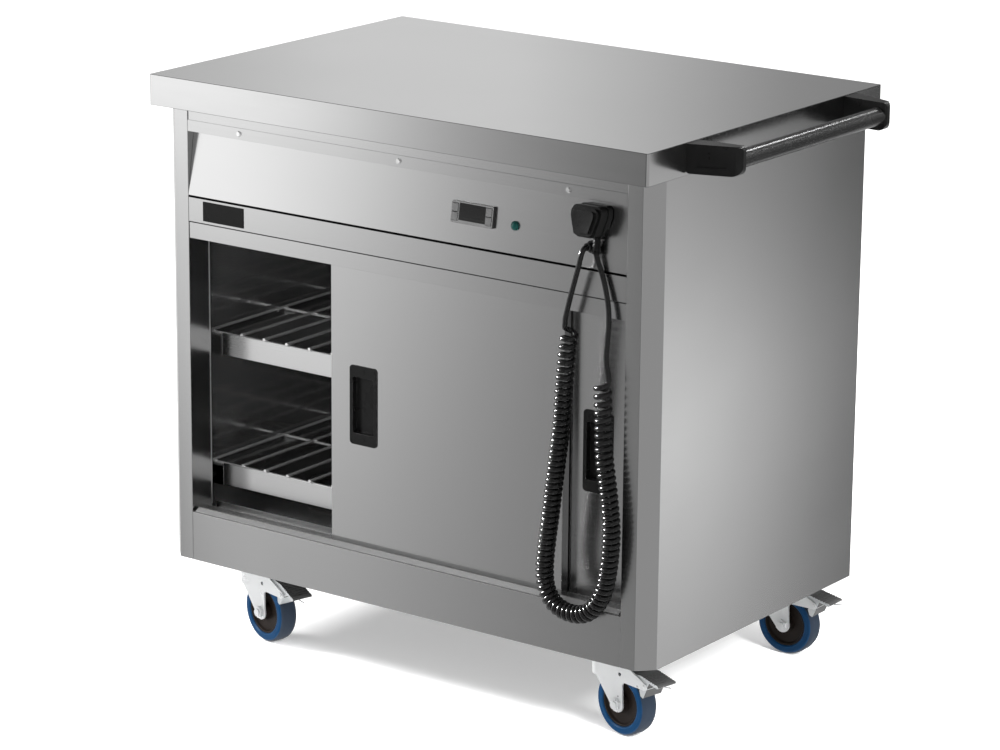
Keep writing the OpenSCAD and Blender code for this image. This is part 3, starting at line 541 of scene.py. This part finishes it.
def rounded_copy(node, name, material, fold=1.2, rim=0.25, sharp=28.0, segments=3):
    """A copy of a CAD node with its edges rounded; folds lie between two wide faces."""
    source = frame["nodes"][node]
    mesh = bpy.data.meshes.new(name)
    work = bmesh.new()
    work.from_mesh(source.data)
    bmesh.ops.remove_doubles(work, verts=work.verts, dist=1e-6)
    bmesh.ops.dissolve_limit(work, angle_limit=math.radians(0.5), verts=work.verts, edges=work.edges)
    work.normal_update()
    weight = work.edges.layers.float.new("bevel_weight_edge")
    biggest = max(fold, rim)
    count = [0, 0]
    for edge in work.edges:
        if len(edge.link_faces) != 2 or edge.calc_face_angle(0) < math.radians(sharp):
            continue
        reach = min(face_reach(f, edge) for f in edge.link_faces) / MM
        if reach > 2.6 * fold and edge.is_convex:
            edge[weight] = fold / biggest
            count[0] += 1
        elif reach > 2.6 * rim:
            edge[weight] = rim / biggest
            count[1] += 1
    work.to_mesh(mesh)
    work.free()
    piece = bpy.data.objects.new(name, mesh)
    scene.collection.objects.link(piece)
    pair = material if isinstance(material, tuple) else (material,)
    for one in pair:
        mesh.materials.append(one)
    for polygon in mesh.polygons:
        polygon.use_smooth = True
    bevel = piece.modifiers.new("eased edges", "BEVEL")
    bevel.material = len(pair) - 1
    bevel.width = biggest * MM
    bevel.segments = segments
    bevel.limit_method = "WEIGHT"
    bevel.miter_outer = "MITER_SHARP"
    shading = piece.modifiers.new("flat faces stay flat", "WEIGHTED_NORMAL")
    shading.keep_sharp = True
    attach(piece, source["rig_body"])
    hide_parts(node)
    return piece, count


# %% Round the cabinet's sheets
# node: name, material, radius of the folds and of the rims in millimetres
SHEETS = {
    "worktop": ("worktop_sheet", STEEL_TOP, 2.6, 0.3),
    "left_side": ("left_side_sheet", STEEL_SIDE, 1.6, 0.25),
    "right_side": ("right_side_sheet", STEEL_SIDE, 1.6, 0.25),
    "back_panel": ("back_sheet", STEEL_FRONT, 1.6, 0.25),
    "kick_panel": ("kick_sheet", STEEL_FRONT[:1], 1.2, 0.45),
    "top_rail": ("top_rail_sheet", STEEL_FRONT, 1.2, 0.45),
    "control_panel": ("control_sheet", STEEL_FRONT, 1.2, 0.45),
    "door_header": ("header_sheet", STEEL_FRONT, 1.2, 0.45),
    "upper_track": ("upper_track_sheet", STEEL_FRONT, 0.8, 0.25),
    "lower_track": ("lower_track_sheet", STEEL_RAIL, 0.8, 0.25),
    "front_door": ("front_door_sheet", STEEL_FRONT, 1.3, 0.3),
    "rear_door": ("rear_door_sheet", STEEL_FRONT, 1.3, 0.3),
    "front_door_inner": ("front_door_lining", STEEL_FRONT, 0.8, 0.25),
    "rear_door_inner": ("rear_door_lining", STEEL_FRONT, 0.8, 0.25),
    "shelf_bearers": ("bearer_channels", STEEL_BEARER, 0.9, 0.25),
    "shelf_rails": ("shelf_front_rails", STEEL_RAIL, 0.9, 0.25),
}
for node, (name, material, fold, rim) in SHEETS.items():
    piece, count = rounded_copy(node, name, material, fold, rim)
    print(name, "folds", count[0], "rims", count[1])

# %% Round the mouldings and the castors
# node: name, material, radius of the folds and of the rims in millimetres, slot
MOULDINGS = {
    "plug_holder": ("plug_socket", BLACK_MOULDED, 1.0, 0.4, "black_plastic"),
    "cable_gland": ("cord_gland", BLACK_MOULDED, 0.6, 0.3, "black_plastic"),
    "plug": ("mains_plug", PLUG_BLACK, 1.5, 0.7, "black_plastic"),
    "front_door_pull": ("front_pull", BLACK_MOULDED, 0.5, 0.4, "black_plastic"),
    "rear_door_pull": ("rear_pull", BLACK_MOULDED, 0.5, 0.4, "black_plastic"),
    "handle_brackets": ("handle_mouldings", BLACK_MOULDED, 1.6, 0.6, "black_plastic"),
    "handle_tube": ("handle_bar", BLACK_COATED, 0.4, 0.3, "black_coating"),
    "badge_plate": ("blank_badge", BLACK_BADGE, 0.4, 0.3, "badge_black"),
    "controller": ("controller_bezel", CONTROLLER, 0.8, 0.3, "controller_grey"),
    "key_up": ("key_top_left", KEY_CAP, 0.5, 0.3, "key_grey"),
    "key_down": ("key_bottom_left", KEY_CAP, 0.5, 0.3, "key_grey"),
    "key_set": ("key_top_right", KEY_CAP, 0.5, 0.3, "key_grey"),
    "key_power": ("key_bottom_right", KEY_CAP, 0.5, 0.3, "key_grey"),
    "indicator_lamp": ("green_lamp", LAMP_GREEN, 0.4, 0.2, "lamp_green"),
    "castor_plates": ("castor_top_plates", ZINC, 0.8, 0.4, "zinc_plate"),
}
for corner in CASTOR_TURNS:
    MOULDINGS["hub_" + corner] = ("hub_body_" + corner, HUB_DARK, 0.6, 0.3, "hub_dark")
    MOULDINGS["tyre_" + corner] = ("tyre_body_" + corner, TYRE_BLUE, 0.5, 0.3, "tyre_blue")
    MOULDINGS["pedal_" + corner] = ("pedal_body_" + corner, PEDAL_GREY, 0.7, 0.4, "pedal_grey")
for node, (name, material, fold, rim, slot) in MOULDINGS.items():
    piece, count = rounded_copy(node, name, material, fold, rim)
    print(name, "folds", count[0], "rims", count[1])


# %% Some faces have a finish of their own
def finish_faces(name, material, chosen):
    """Adds one more finish to a piece and gives it to the faces that a test picks."""
    mesh = bpy.data.objects[name].data
    mesh.materials.append(material)
    for polygon in mesh.polygons:
        if chosen(polygon):
            polygon.material_index = len(mesh.materials) - 1


# %% The end faces of the doors get painted shade: a darker steel for the dark gap beside them
SMALL_FACE = 500 * MM * MM
for name in ("front_door_sheet", "rear_door_sheet"):
    finish_faces(name, STEEL_END_PAINTED_SHADE, lambda face: abs(face.normal.x) > 0.9 and face.area > SMALL_FACE)

# %% The level faces under the doors are worn dull
for name in ("kick_sheet", "lower_track_sheet"):
    finish_faces(name, STEEL_SILL, lambda face: face.normal.z > 0.7)

# %% The treads are greyer than the sides of the tyres
for corner in CASTOR_TURNS:
    name = "tyre_body_" + corner
    spots = np.array([v.co[:] for v in bpy.data.objects[name].data.vertices])
    across = Vector(np.linalg.svd(spots - spots.mean(axis=0), full_matrices=False)[2][2])
    centre = Vector(spots.mean(axis=0))

    def on_tread(face):
        arm = face.center - centre
        return face.normal.dot((arm - across * arm.dot(across)).normalized()) > 0.5

    finish_faces(name, TREAD_BLUE, on_tread)

# %% The hems behind the door posts catch the light
HEM_W = 1.0
JAMB_X, JAMB_Y, JAMB_LOW, JAMB_HIGH = 405.6, -239.6, 208.0, 645.0


def hem(name, x, y, low, high):
    """A thin upright edge of sheet, as a folded hem shows it."""
    mesh = bpy.data.meshes.new(name)
    work = bmesh.new()
    bmesh.ops.create_cube(work, size=1.0)
    work.to_mesh(mesh)
    work.free()
    mesh.transform(Matrix.Translation((x * MM, y * MM, (low + high) / 2 * MM))
                   @ Matrix.Diagonal((HEM_W * MM, HEM_W * MM, (high - low) * MM, 1)))
    mesh.materials.append(STEEL_RAIL[0])
    piece = bpy.data.objects.new(name, mesh)
    scene.collection.objects.link(piece)
    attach(piece, "cabinet")


for side, name in ((-1, "left_hem"), (1, "right_hem")):
    hem(name, side * JAMB_X - X_MID, JAMB_Y, JAMB_LOW, JAMB_HIGH)

# %% The pedals are plated, with a dark ribbed cover on top
for corner, turn in CASTOR_TURNS.items():
    axle = Vector((-math.sin(math.radians(turn)), math.cos(math.radians(turn)), 0))
    finish_faces("pedal_body_" + corner, ZINC_SIDE,
                 lambda face: abs(face.normal.dot(axle)) > 0.7 or face.normal.z < -0.5)

# %% Lay the foil on the controller's face
bezel = bpy.data.objects["controller_bezel"]
bezel.data.materials.append(FOIL)
bezel.modifiers["eased edges"].material = 0
lean_out = max((p.normal for p in bezel.data.polygons if p.normal.y < -0.9), key=lambda n: n.z)
front = max(p.center.dot(lean_out) for p in bezel.data.polygons)
for polygon in bezel.data.polygons:
    if polygon.normal.dot(lean_out) > 0.99 and polygon.center.dot(lean_out) > front - 0.8 * MM:
        polygon.material_index = 1
print("foil faces:", sum(p.material_index == 1 for p in bezel.data.polygons))

# %% The other nodes keep their CAD shape and get their finish
FINISHES = {
    "base_pan": STEEL_LINER_PAINTED_SHADE, "panel_screws": STEEL_SCREW, "liner_sides": STEEL_LINER_PAINTED_SHADE,
    "liner_back": STEEL_LINER_PAINTED_SHADE, "liner_ceiling": STEEL_LINER_PAINTED_SHADE, "liner_floor": STEEL_LINER_PAINTED_SHADE,
    "upper_shelf": STEEL_SHELF, "lower_shelf": STEEL_SHELF, "heating_element": STEEL_SHEATH,
    "plug_pins": BRASS[0],
}
FINISHES.update({"fork_" + corner: ZINC[0] for corner in CASTOR_TURNS})
for node, material in FINISHES.items():
    frame["nodes"][node].data.materials.clear()
    frame["nodes"][node].data.materials.append(material)
mains_cord.data.materials.append(BLACK_CORD[0])

# %% [markdown]
# ## Floor and light
# The photograph is a studio picture on a white floor, with a bright left front and soft light from above.
# Brushed metal shows what stands around it more than the light that falls on it, so the grey cards matter as
# much as the lamps: they are seen only in the metal. The floor shines a little by itself, which keeps the
# shadow under the trolley as soft and pale as in the photograph.


# %% Floor
def stage_card(name, corners, material):
    """A flat card from four corners; it isn't part of the object."""
    mesh = bpy.data.meshes.new(name)
    mesh.from_pydata([Vector(c) for c in corners], [], [(0, 1, 2, 3)])
    mesh.materials.append(material)
    card = bpy.data.objects.new(name, mesh)
    scene.collection.objects.link(card)
    return card


floor_material, _, floor_shader, _ = new_material("floor", Roughness=0.9)
floor_shader.inputs["Base Color"].default_value = grey(0.95)
floor_shader.inputs["Emission Color"].default_value = grey(1.0)
floor_shader.inputs["Emission Strength"].default_value = 0.20
floor = stage_card("floor", [(-30, -30, 0), (30, -30, 0), (30, 30, 0), (-30, 30, 0)], floor_material)
floor.visible_glossy = False

# %% [markdown]
# The photographer's cards are the tones in the metal. Each card shines with its own gradient: the front one
# is bright at its left and top and falls off towards the middle, the side one has a soft bright band, and the
# one behind the trolley gives the worktop its even grey.


# %% Gradient cards
def ramp(tree, value, low, high, stops):
    """A curve of brightness over a length of the card, as a colour ramp."""
    spread = add_node(tree, "ShaderNodeMapRange", {"Value": value, "From Min": low, "From Max": high})
    node = add_node(tree, "ShaderNodeValToRGB", {"Fac": spread.outputs["Result"]})
    node.color_ramp.interpolation = "LINEAR"
    elements = node.color_ramp.elements
    while len(elements) < len(stops):
        elements.new(0.5)
    for element, (place, tone) in zip(elements, stops):
        element.position = (place - low) / (high - low)
        element.color = grey(tone)
    return node.outputs["Color"]


def gradient_card(name, corners, along, stops, up_stops=None, second=None, gain=1.0):
    """A card seen only in reflections; along is 0 or 1 for X or Y, and up_stops mix its two curves."""
    material = bpy.data.materials.new(name)
    material.use_nodes = True
    tree = material.node_tree
    tree.nodes.remove(tree.nodes["Principled BSDF"])
    place = add_node(tree, "ShaderNodeTexCoord")
    split = add_node(tree, "ShaderNodeSeparateXYZ", {0: place.outputs["Object"]})
    tone = ramp(tree, split.outputs[along], stops[0][0], stops[-1][0], stops)
    if second:
        other = ramp(tree, split.outputs[along], second[0][0], second[-1][0], second)
        height = ramp(tree, split.outputs[2], up_stops[0][0], up_stops[-1][0], up_stops)
        tone = mixed(tree, height, other, tone)
    light = add_node(tree, "ShaderNodeEmission", {"Color": tone, "Strength": gain})
    tree.links.new(light.outputs[0], tree.nodes["Material Output"].inputs["Surface"])
    card = stage_card(name, corners, material)
    card.visible_camera = False
    card.visible_diffuse = False
    card.visible_shadow = False
    card.visible_transmission = False
    return card


gradient_card("front_card", [(-4.0, -1.9, -2.5), (1.6, -1.9, -2.5), (1.6, -1.9, 2.4), (-4.0, -1.9, 2.4)], 0,
              [(-2.3, 0.91), (-1.91, 0.91), (-1.78, 0.90), (-1.57, 0.87), (-1.37, 0.625), (-1.23, 0.45),
               (-1.03, 0.277), (-0.93, 0.217), (-0.75, 0.139), (-0.3, 0.087), (0.7, 0.076), (1.5, 0.45)],
              [(-0.9, 0.0), (-0.52, 0.0), (-0.07, 0.35), (0.19, 0.5), (0.46, 1.0), (1.0, 1.0)],
              [(-2.3, 0.06), (-1.98, 0.10), (-1.84, 0.40), (-1.74, 0.47), (-1.53, 0.385), (-1.27, 0.272),
               (-1.0, 0.192), (-0.77, 0.16), (-0.3, 0.13), (0.7, 0.13), (1.5, 0.40)], gain=1.5)
gradient_card("side_card", [(1.6, -2.5, -2.5), (1.6, 4.5, -2.5), (1.6, 4.5, 2.4), (1.6, -2.5, 2.4)], 1,
              [(-2.0, 0.28), (1.0, 0.32), (1.3, 0.92), (1.59, 0.88), (1.84, 0.576), (2.08, 0.27), (2.3, 0.09),
               (2.8, 0.06)],
              [(-0.9, 0.2), (-0.56, 0.45), (-0.11, 1.0), (0.23, 0.28), (0.45, 0.0), (0.9, 0.0)],
              [(-2.0, 0.28), (1.0, 0.32), (1.55, 0.40), (1.84, 0.222), (2.08, 0.095), (2.3, 0.05),
               (2.8, 0.04)], gain=1.25)
gradient_card("back_card", [(-7.0, 3.0, 0.7), (3.0, 3.0, 0.7), (3.0, 3.0, 4.5), (-7.0, 3.0, 4.5)], 0,
              [(-3.6, 0.53), (-3.2, 0.60), (-2.8, 0.74), (-2.2, 0.74), (-1.8, 0.54), (-1.4, 0.31),
               (-0.9, 0.24), (-0.2, 0.40), (1.0, 0.62)])
gradient_card("ceiling_card", [(-7.0, -6.0, 3.6), (6.0, -6.0, 3.6), (6.0, 2.9, 3.6), (-7.0, 2.9, 3.6)], 0,
              [(-7.0, 0.10), (6.0, 0.10)])

# %% Lights
WORLD_STRENGTH = 0.85


def softbox(name, place, aim, size, power, in_metal=False, only=None, through=False):
    """A rectangular area light that faces a point; only lists the pieces it lights, if not all of them."""
    data = bpy.data.lights.new(name, "AREA")
    data.shape = "RECTANGLE"
    data.size, data.size_y = size
    data.energy = power
    light = bpy.data.objects.new(name, data)
    place, aim = Vector(place), Vector(aim)
    facing = (aim - place).to_track_quat("-Z", "Y").to_matrix().to_4x4()
    light.matrix_world = Matrix.Translation(place) @ facing
    light.visible_glossy = in_metal
    scene.collection.objects.link(light)
    if only:
        light.light_linking.receiver_collection = bpy.data.collections.new(name + "_receivers")
        for piece in only:
            light.light_linking.receiver_collection.objects.link(piece)
    if through:
        # an empty collection: nothing stands in this light's way
        light.light_linking.blocker_collection = bpy.data.collections.new(name + "_blockers")
    return light


def with_materials(*names):
    """The pieces whose first material has one of these names."""
    return [o for o in scene.objects if o.type == "MESH" and o.data.materials and o.data.materials[0]
            and o.data.materials[0].name in names]


world = bpy.data.worlds.new("studio")
scene.world = world
world.use_nodes = True
background = world.node_tree.nodes["Background"]
background.inputs["Color"].default_value = grey(1.0)
background.inputs["Strength"].default_value = WORLD_STRENGTH
PIECES = [o for o in scene.objects if o.type == "MESH" and o is not floor]
softbox("left_strip", (-2.1, -2.3, 1.1), (0, -0.29, 0.5), (0.7, 2.0), 30, only=PIECES)
softbox("top_back", (0.6, 1.3, 3.0), (0, 0, 0.4), (2.0, 2.0), 110, only=PIECES)
softbox("right_low", (3.4, 0.9, 1.2), (0.6, -0.1, 0.1), (1.2, 1.0), 60, only=PIECES)
for side, name in ((-1, "floor_left"), (1, "floor_right")):
    softbox(name, (side * 4.0, -1.5, 2.8), (0, 0, 0), (1.2, 1.2), 400, only=[floor])

# %% [markdown]
# Black rubber and plastic show lamps as small highlights, so some lamps light only them. Three more light the
# lining and the bright wires inside, which the cabinet would keep dark.

# %% Lamps for single finishes
GLOSSY = with_materials("black_moulding", "plug_rubber", "black_cord", "controller_case", "lamp_green",
                        "hub_plastic", "blue_rubber", "pedal_grey")
BEADS = with_materials("plug_rubber", "black_cord")
softbox("small_strip", (-3.0, -3.2, 1.9), (0.3, -0.3, 0.5), (0.30, 0.9), 110, in_metal=True, only=GLOSSY)
softbox("left_kicker", (-3.4, -1.5, 1.5), (0.35, -0.3, 0.5), (0.40, 0.70), 1100, in_metal=True, only=BEADS)
HANDLE = [bpy.data.objects["handle_bar"], bpy.data.objects["handle_mouldings"]]
softbox("over_the_handle", (0.38, 1.95, 2.45), (0.5, 0, 0.88), (0.14, 0.5), 13, in_metal=True, only=HANDLE)
softbox("beside_the_handle", (1.8, 1.95, 1.78), (0.5, 0, 0.88), (0.5, 0.6), 26, in_metal=True, only=HANDLE)
WIRES = with_materials("stainless_wire")
softbox("over_the_shelves", (-0.3, 2.4, 2.4), (-0.2, 0, 0.45), (0.7, 0.4), 260, in_metal=True, only=WIRES,
        through=True)
INSIDE = with_materials("stainless_liner_painted_shade", "stainless_wire", "stainless_bearer", "element_sheath")
softbox("into_the_opening", (0.9, -2.4, 1.1), (-0.1, 0, 0.45), (0.6, 0.4), 25, in_metal=True, only=INSIDE)
softbox("onto_the_wires", (0.3, -2.2, 1.5), (-0.2, 0, 0.45), (0.5, 0.3), 20, in_metal=True, only=WIRES,
        through=True)
